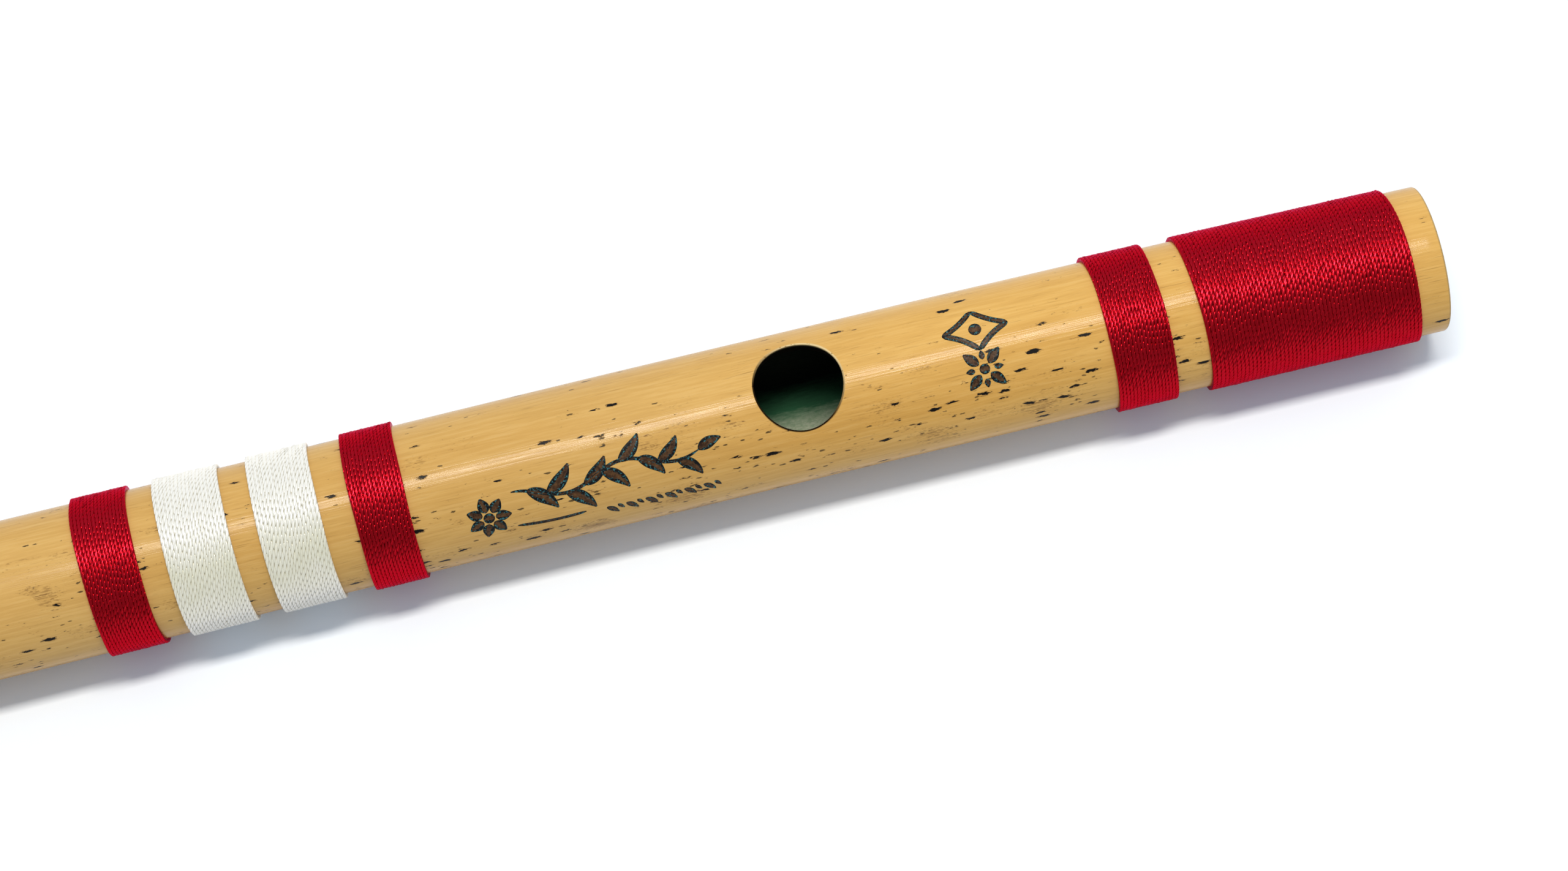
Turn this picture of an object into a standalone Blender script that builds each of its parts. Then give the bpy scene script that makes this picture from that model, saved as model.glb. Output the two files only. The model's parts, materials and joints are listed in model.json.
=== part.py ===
"""Bansuri: a six-hole bamboo flute with thread bindings and a cork stopper.

The flute lies along X with its blowing end at +X and its holes facing +Z. It rests on its
bindings at Z = 0, and the origin is under the middle of its length. Every place along it is
measured from the centre of the blow hole, as a flute maker measures, positive towards the head.
"""

import math

import bpy
from mathutils import Matrix

MM = 0.001

# Bamboo culm: outside diameters where its taper changes, and the places of those changes
HEAD_DIAMETER = 19.7 * MM
BODY_DIAMETER = 20.0 * MM
WAIST_DIAMETER = 20.3 * MM
FOOT_DIAMETER = 20.8 * MM
HEAD_TAPER_LENGTH = 35.0 * MM
BLOW_HOLE_TO_BODY_END = 69.0 * MM
BLOW_HOLE_TO_WAIST = 99.0 * MM
BORE_DIAMETER = 15.6 * MM
END_CHAMFER = 0.35 * MM

# Holes: diameters at the outside of the wall, and the distance from each to the one before
BLOW_HOLE_DIAMETER = 11.7 * MM
LOWER_RED_TO_FIRST_HOLE = 31.6 * MM
FINGER_HOLE_DIAMETERS = [7.5 * MM, 8.5 * MM, 8.0 * MM, 7.5 * MM, 9.0 * MM, 8.0 * MM]
FINGER_HOLE_SPACINGS = [20.5 * MM, 20.5 * MM, 21.0 * MM, 20.5 * MM, 20.0 * MM]
HOLE_UNDERCUT = 0.2 * MM

# Thread bindings: one layer of two-ply thread wound side by side
THREAD_THICKNESS = 0.55 * MM
FINE_PITCH = 0.475 * MM
COARSE_PITCH = 0.541 * MM
BINDING_CLEARANCE = 0.05 * MM
HEAD_END_TURNS = 53
HEAD_RING_TURNS = 17
RED_TURNS = 15
WHITE_TURNS = 18
FOOT_RING_TURNS = 15
FOOT_END_TURNS = 28

# Bare bamboo left between the bindings, the holes and the ends
HEAD_BARE_END = 4.35 * MM
HEAD_BINDING_GAP = 4.45 * MM
HEAD_RING_TO_BLOW_HOLE = 40.8 * MM
BLOW_HOLE_TO_UPPER_RED = 53.0 * MM
GROUP_GAP = 3.9 * MM
LAST_HOLE_TO_FOOT_RING = 8.5 * MM
FOOT_BINDING_GAP = 3.9 * MM
FOOT_BARE_END = 3.8 * MM

# Cork stopper, set back from the blow hole by about one bore diameter
STOPPER_LENGTH = 15.0 * MM
STOPPER_SETBACK = 15.5 * MM
STOPPER_CLEARANCE = 0.1 * MM
STOPPER_CHAMFER = 0.6 * MM

# Facets round the turned pieces and round each hole
ROUND_STEPS = 48
HOLE_STEPS = 32
SHOULDER_STEPS = 2
SHARP_ANGLE = math.radians(30)

BAMBOO = ("bamboo", (0.66, 0.42, 0.17, 1.0), 0.38)
RED_THREAD = ("red_thread", (0.42, 0.008, 0.022, 1.0), 0.42)
WHITE_THREAD = ("white_thread", (0.82, 0.81, 0.70, 1.0), 0.5)
CORK = ("cork", (0.47, 0.27, 0.13, 1.0), 0.85)


def chain(start, first_direction, lengths):
    """Places reached by stepping from start through the lengths, towards the head or the foot."""
    places = [start]
    for length in lengths:
        places.append(places[-1] + first_direction * length)
    return places


TOWARDS_HEAD = 1
TOWARDS_FOOT = -1

# Bindings and ends, stepped outwards from the blow hole
head_places = chain(
    HEAD_RING_TO_BLOW_HOLE,
    TOWARDS_HEAD,
    [HEAD_RING_TURNS * FINE_PITCH, HEAD_BINDING_GAP, HEAD_END_TURNS * COARSE_PITCH, HEAD_BARE_END],
)
group_places = chain(
    -BLOW_HOLE_TO_UPPER_RED,
    TOWARDS_FOOT,
    [
        RED_TURNS * FINE_PITCH,
        GROUP_GAP,
        WHITE_TURNS * FINE_PITCH,
        GROUP_GAP,
        WHITE_TURNS * FINE_PITCH,
        GROUP_GAP,
        RED_TURNS * FINE_PITCH,
        LOWER_RED_TO_FIRST_HOLE,
    ],
)
finger_holes = chain(group_places[-1], TOWARDS_FOOT, FINGER_HOLE_SPACINGS)
foot_places = chain(
    finger_holes[-1] - LAST_HOLE_TO_FOOT_RING,
    TOWARDS_FOOT,
    [FOOT_RING_TURNS * FINE_PITCH, FOOT_BINDING_GAP, FOOT_END_TURNS * COARSE_PITCH, FOOT_BARE_END],
)
head_end = head_places[-1]
foot_end = foot_places[-1]
middle = (head_end + foot_end) / 2

# Each binding with its end nearer the foot, its end nearer the head, and its thread
bindings = [
    ("head_end_binding", head_places[2], head_places[3], RED_THREAD),
    ("head_ring_binding", head_places[0], head_places[1], RED_THREAD),
    ("upper_red_binding", group_places[1], group_places[0], RED_THREAD),
    ("upper_white_binding", group_places[3], group_places[2], WHITE_THREAD),
    ("lower_white_binding", group_places[5], group_places[4], WHITE_THREAD),
    ("lower_red_binding", group_places[7], group_places[6], RED_THREAD),
    ("foot_ring_binding", foot_places[1], foot_places[0], RED_THREAD),
    ("foot_end_binding", foot_places[3], foot_places[2], RED_THREAD),
]

# Outside radius of the culm at each change of its taper, from the head to the foot
culm = [
    (head_end, HEAD_DIAMETER / 2),
    (head_end - HEAD_TAPER_LENGTH, BODY_DIAMETER / 2),
    (-BLOW_HOLE_TO_BODY_END, BODY_DIAMETER / 2),
    (-BLOW_HOLE_TO_WAIST, WAIST_DIAMETER / 2),
    (foot_end, FOOT_DIAMETER / 2),
]


def culm_radius(place):
    """Outside radius of the bamboo at a place along the flute."""
    for (upper, upper_radius), (lower, lower_radius) in zip(culm, culm[1:]):
        if place >= lower:
            share = (upper - place) / (upper - lower)
            return upper_radius + share * (lower_radius - upper_radius)
    return culm[-1][1]


def seat_radius(place):
    """Inside radius of a binding, which lies on the bamboo."""
    return culm_radius(place) + BINDING_CLEARANCE


def binding_radius(place):
    return seat_radius(place) + THREAD_THICKNESS


# Height of the bore's axis, so that the largest binding touches Z = 0. Its flats face down.
FLAT_SHARE = math.cos(math.pi / ROUND_STEPS)
axis_height = FLAT_SHARE * max(
    binding_radius(place) for _, low, high, _ in bindings for place in (low, high)
)


def clear_scene():
    for old in list(bpy.data.objects):
        bpy.data.objects.remove(old)


def new_collection(name):
    made = bpy.data.collections.new(name)
    bpy.context.scene.collection.children.link(made)
    return made


def material(finish):
    """The Principled material of a finish, made once."""
    name, colour, roughness = finish
    found = bpy.data.materials.get(name)
    if found:
        return found
    made = bpy.data.materials.new(name)
    made.use_nodes = True
    shader = made.node_tree.nodes["Principled BSDF"]
    shader.inputs["Base Color"].default_value = colour
    shader.inputs["Roughness"].default_value = roughness
    shader.inputs["Metallic"].default_value = 0.0
    return made


def bake(obj):
    """Puts the modifiers' result into the object's mesh and shades its round faces smooth."""
    graph = bpy.context.evaluated_depsgraph_get()
    mesh = bpy.data.meshes.new_from_object(obj.evaluated_get(graph))
    obj.modifiers.clear()
    obj.data = mesh
    mesh.name = obj.name
    mesh.shade_smooth()
    mesh.set_sharp_from_angle(angle=SHARP_ANGLE)


def turned(name, profile, closed, place, finish, group):
    """A piece turned round the flute's axis, with its own origin on the axis at a place.

    The profile lists (distance towards the head from that place, radius), down the outer side
    from the head end. It starts half a facet round, so that a flat facet lies underneath.
    """
    half_facet = math.pi / ROUND_STEPS
    points = [
        (radius * math.cos(half_facet), radius * math.sin(half_facet), along)
        for along, radius in profile
    ]
    edges = [(i, i + 1) for i in range(len(points) - 1)]
    if closed:
        edges.append((len(points) - 1, 0))
    mesh = bpy.data.meshes.new(name)
    mesh.from_pydata(points, edges, [])
    obj = bpy.data.objects.new(name, mesh)
    group.objects.link(obj)
    screw = obj.modifiers.new("Turn", "SCREW")
    screw.steps = screw.render_steps = ROUND_STEPS
    screw.use_merge_vertices = True
    screw.merge_threshold = 0.00001
    obj.matrix_world = Matrix.Translation((place - middle, 0, axis_height)) @ Matrix.Rotation(
        math.pi / 2, 4, "Y"
    )
    bake(obj)
    obj.data.materials.append(material(finish))
    return obj


def hole_cutter(name, place, diameter, group):
    """A drill from the bore's axis out through the wall, undercut by widening inwards."""
    outside = culm_radius(place)
    bore = BORE_DIAMETER / 2
    flare = HOLE_UNDERCUT / (outside - bore)
    height = outside + BORE_DIAMETER / 2
    bpy.ops.mesh.primitive_cone_add(
        vertices=HOLE_STEPS,
        radius1=diameter / 2 + flare * outside,
        radius2=diameter / 2 - flare * (height - outside),
        depth=height,
        location=(place - middle, 0, axis_height + height / 2),
    )
    cutter = bpy.context.object
    cutter.name = name
    cutter.hide_render = True
    cutter.display_type = "WIRE"
    for old in list(cutter.users_collection):
        old.objects.unlink(cutter)
    group.objects.link(cutter)
    return cutter


def build_tube(parts, cutters):
    """The bamboo: a tapered culm with a straight bore, the blow hole and the finger holes."""
    bore = BORE_DIAMETER / 2
    outer = [
        (head_end, culm_radius(head_end) - END_CHAMFER),
        (head_end - END_CHAMFER, culm_radius(head_end - END_CHAMFER)),
        *culm[1:-1],
        (foot_end + END_CHAMFER, culm_radius(foot_end + END_CHAMFER)),
        (foot_end, culm_radius(foot_end) - END_CHAMFER),
    ]
    inner = [
        (foot_end, bore + END_CHAMFER),
        (foot_end + END_CHAMFER, bore),
        (head_end - END_CHAMFER, bore),
        (head_end, bore + END_CHAMFER),
    ]
    tube = turned("bamboo_tube", outer + inner, True, 0.0, BAMBOO, parts)
    holes = [("blow_hole", 0.0, BLOW_HOLE_DIAMETER)]
    for number, (place, diameter) in enumerate(zip(finger_holes, FINGER_HOLE_DIAMETERS), 1):
        holes.append((f"finger_hole_{number}", place, diameter))
    for name, place, diameter in holes:
        cut = tube.modifiers.new(name, "BOOLEAN")
        cut.operation = "DIFFERENCE"
        cut.object = hole_cutter(name + "_cutter", place, diameter, cutters)
    bake(tube)
    return tube


def build_binding(name, low, high, finish, parts):
    """A wound band: its shoulders are as round as the outermost turns of thread."""
    centre = (low + high) / 2
    round_off = THREAD_THICKNESS / 2
    corner = [math.pi / 2 * step / SHOULDER_STEPS for step in range(SHOULDER_STEPS + 1)]
    head_shoulder = [
        (
            high - round_off * (1 - math.cos(angle)),
            binding_radius(high) - round_off * (1 - math.sin(angle)),
        )
        for angle in corner
    ]
    foot_shoulder = [
        (
            low + round_off * (1 - math.cos(angle)),
            binding_radius(low) - round_off * (1 - math.sin(angle)),
        )
        for angle in reversed(corner)
    ]
    bends = [(place, radius) for place, radius in culm if low < place < high]
    over_bends = [(place, binding_radius(place)) for place, _ in bends]
    seat = [
        (low, seat_radius(low)),
        *reversed([(place, seat_radius(place)) for place, _ in bends]),
        (high, seat_radius(high)),
    ]
    profile = head_shoulder + over_bends + foot_shoulder + seat
    shifted = [(place - centre, radius) for place, radius in profile]
    return turned(name, shifted, True, centre, finish, parts)


def build_stopper(parts):
    """The cork that closes the bore behind the blow hole. Its origin is on its sounding face."""
    radius = BORE_DIAMETER / 2 - STOPPER_CLEARANCE
    profile = [
        (STOPPER_LENGTH, 0.0),
        (STOPPER_LENGTH, radius - STOPPER_CHAMFER),
        (STOPPER_LENGTH - STOPPER_CHAMFER, radius),
        (STOPPER_CHAMFER, radius),
        (0.0, radius - STOPPER_CHAMFER),
        (0.0, 0.0),
    ]
    return turned("cork_stopper", profile, False, STOPPER_SETBACK, CORK, parts)


def main():
    clear_scene()
    parts = new_collection("bansuri")
    cutters = new_collection("cutters")
    build_tube(parts, cutters)
    build_stopper(parts)
    for name, low, high, finish in bindings:
        build_binding(name, low, high, finish, parts)


main()
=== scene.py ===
"""Bansuri: the looks of the flute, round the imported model's frame.

Lengths are in metres and follow the frame: +X towards the blowing end, +Z up through the holes.
A point on the culm is given by its place along X, its angle from the top towards +Y, and its
radius from the bore's axis.
"""

import json
import math

import bmesh
import bpy
from mathutils import Matrix, Vector, noise


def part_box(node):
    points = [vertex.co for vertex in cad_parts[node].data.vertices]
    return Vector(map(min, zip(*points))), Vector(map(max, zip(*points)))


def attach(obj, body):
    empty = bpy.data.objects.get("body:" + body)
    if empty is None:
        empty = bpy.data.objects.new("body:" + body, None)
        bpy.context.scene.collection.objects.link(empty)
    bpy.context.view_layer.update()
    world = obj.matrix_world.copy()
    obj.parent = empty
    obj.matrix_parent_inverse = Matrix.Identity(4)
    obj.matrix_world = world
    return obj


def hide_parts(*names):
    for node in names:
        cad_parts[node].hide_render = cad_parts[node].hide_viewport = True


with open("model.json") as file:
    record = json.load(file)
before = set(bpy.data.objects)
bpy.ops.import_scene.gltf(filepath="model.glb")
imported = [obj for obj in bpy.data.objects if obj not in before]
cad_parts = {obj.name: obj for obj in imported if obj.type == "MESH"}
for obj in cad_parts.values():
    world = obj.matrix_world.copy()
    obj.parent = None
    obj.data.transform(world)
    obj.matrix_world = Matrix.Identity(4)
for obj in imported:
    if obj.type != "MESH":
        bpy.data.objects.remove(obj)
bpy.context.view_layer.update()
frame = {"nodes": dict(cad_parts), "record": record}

MM = 0.001
DEGREE = math.pi / 180

# Camera, measured from the photograph, about the axis at the blow hole
CAMERA_LENS = 92.95
CAMERA_FILM = 36.0
CAMERA_NEAR = 10 * MM
CAMERA_OFFSET = Vector((-27.28, -153.26, 514.02)) * MM
CAMERA_AZIMUTH = -9.2 * DEGREE
CAMERA_ELEVATION = 73.56 * DEGREE
CAMERA_ROLL = -4.59 * DEGREE

# Lamp: one long soft lamp above the flute, a little behind it and to its right
LAMP_LEAN_BACK = 7 * DEGREE
LAMP_LEAN_RIGHT = 4 * DEGREE
LAMP_AIM = -20 * MM
LAMP_DISTANCE = 1.2
LAMP_LENGTH = 0.58
LAMP_WIDTH = 0.13
LAMP_LEVEL = 0.66
LAMP_COLOUR = (1.08, 1.0, 0.90)

# Room: its light grows from the near side to the far side, and a little from the horizon upwards
ROOM_NEAR_LEVEL = 0.42
ROOM_FAR_LEVEL = 0.68
ROOM_NEAR_SIDE = -0.5
ROOM_FAR_SIDE = 0.3
ROOM_HORIZON = 0.75
ROOM_ZENITH = 1.05
ROOM_ZENITH_FROM = 0.8
ROOM_COLOUR = (0.90, 1.0, 1.14, 1)

# Floor: just under the flute, with its own colour for the camera, and plain white further out
FLOOR_SIZE = 6.0
FLOOR_DROP = 0.08 * MM
FLOOR_COLOUR = (0.78, 0.78, 0.79, 1)
FLOOR_SEEN_COLOUR = (0.93, 1.0, 1.07, 1)
FLOOR_FADE_START = 0.22
FLOOR_FADE_END = 0.5

# Natural shape of the culm: it snakes a little to either side of straight
BOW = 0.5 * MM
BOW_LENGTH = 395 * MM
UNEVENNESS = 0.04 * MM
UNEVENNESS_LENGTH = 30 * MM
UNEVENNESS_AROUND = 1.2

# CAD culm: its bore, and how its outer rings are told from its holes and ends
BORE_RADIUS = 7.8 * MM
OUTSIDE_FROM = 1.1 * BORE_RADIUS
WHOLE_RING = 40

# Mesh of the bamboo
AROUND = 120
STATION_SPACING = 1.5 * MM
PATCH_SPACING = 0.6 * MM
PATCH_MARGIN = 2.4 * MM
PATCH_MARGIN_ANGLE = 8 * DEGREE
END_ROUNDING = 0.3 * MM
RIM_ROUNDING = 0.18 * MM
ROUND_STEPS = 4
WALL_STEPS = 4
HOLE_UNDERCUT = 0.2 * MM

# Rings round a hole: how far each lies from its edge towards the border of its patch, which is
# laid flat at this many times the bore's radius
OUTER_SHARES = (0.6, 0.3, 0.1, 0.03)
INNER_SHARES = (0.25, 0.6)
FLAT_RATIO = 1.2

# Cut ends: how far each ring of the flat lies from outside to bore, and how scorched the edge is
END_SHARES = (0.3, 0.55, 0.8)
END_BURN = 0.45
END_BURN_FADE = 0.25

# Stopper: its face has rings at these shares of its radius
PLUG_FACE_SHARES = (0.05, 0.5, 0.8)
PLUG_ROUNDING = 0.6 * MM
PLUG_ROUGHNESS = 0.06 * MM
PLUG_AROUND = 96

# Thread: its plies show as slanting grains, with rows of points along each groove and lobe
THREAD_HEIGHT = 0.6 * MM
RED_GRAIN = 0.85 * MM
WHITE_GRAIN = 1.08 * MM
GRAIN_UNEVENNESS = 0.16
GRAIN_LEAN = 0.27
GRAIN_SWELL = 0.04
WANDER = 0.18 * MM
WANDER_LENGTH = 5 * MM
ROW_PHASES = (0.0, 0.14, 0.32, 0.5, 0.68, 0.86)
ROW_DROPS = (0.27, 0.05, 0.007, 0.0, 0.007, 0.05)
COLUMNS = (-0.51, -0.42, -0.26, 0.0, 0.26, 0.42, 0.51)
COLUMN_DROPS = (0.18, 0.035, 0.005, 0.0, 0.005, 0.035, 0.18)
TAIL_LENGTH = 2.5 * MM
TAIL_HEIGHT = 0.3

# Noise that varies the grains: waves per millimetre of thread, and steps per grain and strand
GRAIN_WAVE = 0.15
GRAIN_STEP = 1.7
SEED_STEP = 7.3

# Each binding with how many strands were wound side by side, its pitch, how far it reaches
# past the upper end of its CAD sleeve, its grain and its slot
BINDINGS = {
    "head_end_binding": (3, 0.541 * MM, 0.0, RED_GRAIN, "red_thread"),
    "head_ring_binding": (2, 0.475 * MM, 0.0, RED_GRAIN, "red_thread"),
    "upper_red_binding": (1, 0.475 * MM, 0.0, RED_GRAIN, "red_thread"),
    "upper_white_binding": (2, 0.475 * MM, -0.35 * MM, WHITE_GRAIN, "white_thread"),
    "lower_white_binding": (3, 0.475 * MM, 0.2 * MM, WHITE_GRAIN, "white_thread"),
    "lower_red_binding": (3, 0.475 * MM, 0.35 * MM, RED_GRAIN, "red_thread"),
    "foot_ring_binding": (2, 0.475 * MM, 0.0, RED_GRAIN, "red_thread"),
    "foot_end_binding": (3, 0.541 * MM, 0.0, RED_GRAIN, "red_thread"),
}

# Burnt marks, lying just proud of the bamboo
MARK_DEPTH = 0.05 * MM
THIN_STROKE = 0.5 * MM
MARK_STEP = 0.003 * MM
MARK_COLUMNS = (-1.0, -0.86, -0.66, -0.4, 0.0, 0.4, 0.66, 0.86, 1.0)
MARK_LIFTS = [lift * MM for lift in (0.004, 0.035, 0.03, 0.012, 0.008, 0.012, 0.03, 0.035, 0.004)]

# Colours of the room, of the bamboo's skin, bore and cut ends, and of lint on the thread
WHITE = (1, 1, 1, 1)
PALE_HONEY = (0.73, 0.44, 0.125, 1)
DEEP_HONEY = (0.64, 0.35, 0.080, 1)
DARK_FIBRE = (0.50, 0.265, 0.062, 1)
PALE_FIBRE = (0.80, 0.54, 0.20, 1)
HAIR_BROWN = (0.20, 0.09, 0.02, 1)
# Darker, bluer tone multiplied in towards the foot
FOOT_SIDE_TONE = (0.89, 0.91, 1.0, 1)
SMUDGE_BROWN = (0.17, 0.075, 0.02, 1)
HALO_BROWN = (0.20, 0.09, 0.025, 1)
FLECK_BLACK = (0.004, 0.003, 0.002, 1)
# Black of the scorch, also painted shade on the hole walls and rims
SCORCH_AND_SHADE_BLACK = (0.006, 0.002, 0.001, 1)
# Bore: painted shade in black, the bore's own green, and a painted pool of light in pale green and
# grey
BORE_SHADE_BLACK = (0.002, 0.004, 0.003, 1)
BORE_GREEN = (0.024, 0.100, 0.048, 1)
LIGHT_POOL_GREEN = (0.46, 0.53, 0.37, 1)
LIGHT_POOL_PALE = (0.78, 0.78, 0.62, 1)
SOOTY_SHINE = (0.15, 0.2, 0.15, 1)
PITH_PALE = (0.72, 0.55, 0.27, 1)
PITH_BROWN = (0.30, 0.18, 0.06, 1)
LINT_PINK = (0.85, 0.62, 0.60, 1)

tube = frame["nodes"]["bamboo_tube"]
tube_low, tube_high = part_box("bamboo_tube")
axis_height = (tube_low.z + tube_high.z) / 2


def opening(name):
    """The middle of a stated opening of the frame."""
    for item in frame["record"]["physics"]["openings"]:
        if item["name"] == name:
            low, high = item["box_m"]
            return (Vector(low) + Vector(high)) / 2
    raise KeyError(name)


blow_hole = opening("blow_hole").x


def outer_rings():
    """(place, radius) of each whole ring of the CAD culm's outer side, without its chamfers."""
    rings = {}
    for vertex in tube.data.vertices:
        place = round(vertex.co.x, 6)
        radius = round(math.hypot(vertex.co.y, vertex.co.z - axis_height), 6)
        rings.setdefault((place, radius), []).append(vertex)
    whole = [ring for ring, found in rings.items() if len(found) >= WHOLE_RING]
    return sorted(ring for ring in whole if ring[1] > OUTSIDE_FROM)[1:-1]


CULM = outer_rings()


def culm_radius(place):
    """Outside radius of the bamboo at a place, from the CAD culm."""
    if place <= CULM[0][0]:
        return CULM[0][1]
    for (low, low_radius), (high, high_radius) in zip(CULM, CULM[1:]):
        if place <= high:
            share = (place - low) / (high - low)
            return low_radius + share * (high_radius - low_radius)
    return CULM[-1][1]


def bow(place):
    """How far the culm lies to the +Y side of straight."""
    return BOW * math.cos(2 * math.pi * (place - blow_hole) / BOW_LENGTH)


def bore_shift(place):
    """How far the bore lies beside the culm's middle: past the blow hole it runs straight."""
    return bow(min(place, blow_hole)) - bow(place)


def point(place, angle, radius, shift=0.0):
    """A point of the flute, on its naturally bowed axis or shifted beside it."""
    return (
        place,
        bow(place) + shift + radius * math.sin(angle),
        axis_height + radius * math.cos(angle),
    )


def bore_point(place, angle, radius=BORE_RADIUS):
    """A point of the bore, or at another radius round the bore's own axis."""
    return point(place, angle, radius, bore_shift(place))


def surface_radius(place, angle):
    """Outside radius of the real bamboo, with its slight unevenness."""
    across = UNEVENNESS_AROUND * math.sin(angle)
    up = UNEVENNESS_AROUND * math.cos(angle)
    spot = Vector((place / UNEVENNESS_LENGTH, across, up))
    return culm_radius(place) + UNEVENNESS * noise.noise(spot)


def hole_radius(place):
    """Radius of a CAD hole where it meets the top of the culm."""
    rim = [
        vertex.co
        for vertex in tube.data.vertices
        if abs(vertex.co.x - place) < BORE_RADIUS
        and math.hypot(vertex.co.y, vertex.co.z - axis_height) > OUTSIDE_FROM
    ]
    top = max(rim, key=lambda spot: spot.z)
    return math.hypot(top.x - place, top.y)


class Skin:
    """A mesh under construction: points with named values, and faces between rings of points."""

    def __init__(self, *value_names):
        self.points = []
        self.faces = []
        self.values = {name: [] for name in value_names}

    def add(self, spot, **values):
        """Adds a point and gives its number."""
        self.points.append(spot)
        for name, column in self.values.items():
            column.append(values.get(name, 0.0))
        return len(self.points) - 1

    def bridge(self, first, second):
        """Faces between two rings of the same number of points."""
        count = len(first)
        for i in range(count):
            after = (i + 1) % count
            self.faces.append((first[i], first[after], second[after], second[i]))

    def make(self, name):
        """The finished object, smoothly shaded."""
        mesh = bpy.data.meshes.new(name)
        mesh.from_pydata(self.points, [], self.faces)
        for value_name, column in self.values.items():
            layer = mesh.attributes.new(value_name, "FLOAT", "POINT")
            layer.data.foreach_set("value", column)
        mesh.validate()
        mesh.shade_smooth()
        made = bpy.data.objects.new(name, mesh)
        bpy.context.scene.collection.objects.link(made)
        return made


def spread(low, high, spacing):
    """Places from low to high, both included, evenly set about a spacing apart."""
    count = max(1, round((high - low) / spacing))
    return [low + (high - low) * i / count for i in range(count + 1)]


def face_outwards(piece):
    """Turns every face to the outside of a closed piece."""
    shape = bmesh.new()
    shape.from_mesh(piece.data)
    bmesh.ops.recalc_face_normals(shape, faces=shape.faces)
    shape.to_mesh(piece.data)
    shape.free()


def dress(piece, body, slot, finish, *nodes):
    """Gives a piece its material, its body and the CAD nodes that it stands for."""
    piece.data.materials.append(finish)
    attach(piece, body)
    if nodes:
        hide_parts(*nodes)
    return piece


class Nodes:
    """A tree of shader nodes, added and joined by short calls."""

    def __init__(self, tree):
        self.tree = tree

    def add(self, kind, settings=None, **inputs):
        """A new node with its settings and what goes into it."""
        node = self.tree.nodes.new(kind)
        for name, value in (settings or {}).items():
            setattr(node, name, value)
        for name, value in inputs.items():
            self.feed(node.inputs[name.replace("_", " ")], value)
        return node

    def feed(self, socket, value):
        """Joins another node's output to a socket, or sets the socket's own value."""
        if isinstance(value, bpy.types.NodeSocket):
            self.tree.links.new(value, socket)
        else:
            socket.default_value = value

    def math(self, operation, first, second=0.0, clamp=False):
        node = self.tree.nodes.new("ShaderNodeMath")
        node.operation = operation
        node.use_clamp = clamp
        self.feed(node.inputs[0], first)
        self.feed(node.inputs[1], second)
        return node.outputs[0]

    def place(self, scale):
        """Where a point is, in millimetres times a scale along each axis."""
        where = self.add("ShaderNodeTexCoord").outputs["Object"]
        node = self.add("ShaderNodeMapping", Vector=where)
        node.inputs["Scale"].default_value = [each / MM for each in scale]
        return node.outputs[0]

    def noise(self, scale, detail=2.0, roughness=0.5, offset=0.0):
        """Noise of about one wave in 1 / scale millimetres along each axis."""
        node = self.add(
            "ShaderNodeTexNoise",
            {"noise_dimensions": "4D"},
            Vector=self.place(scale),
            W=offset,
            Scale=1.0,
            Detail=detail,
            Roughness=roughness,
        )
        return node.outputs["Fac"]

    def ramp(self, value, low, high, to_low=0.0, to_high=1.0):
        """value taken from between low and high to between to_low and to_high, and kept there."""
        node = self.tree.nodes.new("ShaderNodeMapRange")
        for socket, number in zip(node.inputs, (value, low, high, to_low, to_high)):
            self.feed(socket, number)
        return node.outputs[0]

    def mix(self, share, first, second, blend="MIX"):
        """The first colour turning to the second as share goes from 0 to 1."""
        node = self.tree.nodes.new("ShaderNodeMix")
        node.data_type = "RGBA"
        node.blend_type = blend
        self.feed(node.inputs["Factor"], share)
        self.feed(node.inputs[6], first)
        self.feed(node.inputs[7], second)
        return node.outputs[2]

    def value_of(self, name):
        """A value that the mesh's points carry."""
        return self.add("ShaderNodeAttribute", {"attribute_name": name}).outputs["Fac"]

    def bump(self, height, distance):
        return self.add("ShaderNodeBump", Height=height, Distance=distance).outputs[0]


class Shader(Nodes):
    """One material with its nodes."""

    def __init__(self, name):
        self.material = bpy.data.materials.new(name)
        self.material.use_nodes = True
        super().__init__(self.material.node_tree)
        self.principled = self.tree.nodes["Principled BSDF"]

    def set(self, name, value):
        """Feeds a socket of the main shader."""
        self.feed(self.principled.inputs[name], value)

    def surface(self, made):
        """Makes another node the surface."""
        self.tree.links.new(made.outputs[0], self.tree.nodes["Material Output"].inputs["Surface"])


def specks(shader, scale, chance, size, softness, offset, ragged=1.0):
    """Scattered specks with ragged ends: 1 in a speck. chance is the share of cells with one."""
    grain = shader.noise((1.2, 9.0, 9.0), 2.0, 0.6, offset)
    wobble = shader.noise((1.8, 4.0, 4.0), 3.0, 0.65, offset + 5)
    cells = shader.add(
        "ShaderNodeTexVoronoi",
        {"voronoi_dimensions": "4D"},
        Vector=shader.place(scale),
        W=offset,
        Scale=1.0,
    )
    parts = shader.add("ShaderNodeSeparateColor", Color=cells.outputs["Color"])
    chosen = shader.math("LESS_THAN", parts.outputs[0], chance)
    reach = shader.math("MULTIPLY", shader.ramp(parts.outputs[1], 0, 1, 0.3 * size, size), chosen)
    fine = shader.ramp(grain, 0.3, 0.7, -0.16 * ragged, 0.16 * ragged)
    coarse = shader.ramp(wobble, 0.3, 0.7, -0.22 * ragged, 0.22 * ragged)
    rough = shader.math("MULTIPLY", shader.math("ADD", fine, coarse), size / 0.45)
    distance = shader.math("ADD", cells.outputs["Distance"], rough)
    return shader.ramp(shader.math("SUBTRACT", reach, distance), 0.0, softness)


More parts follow.
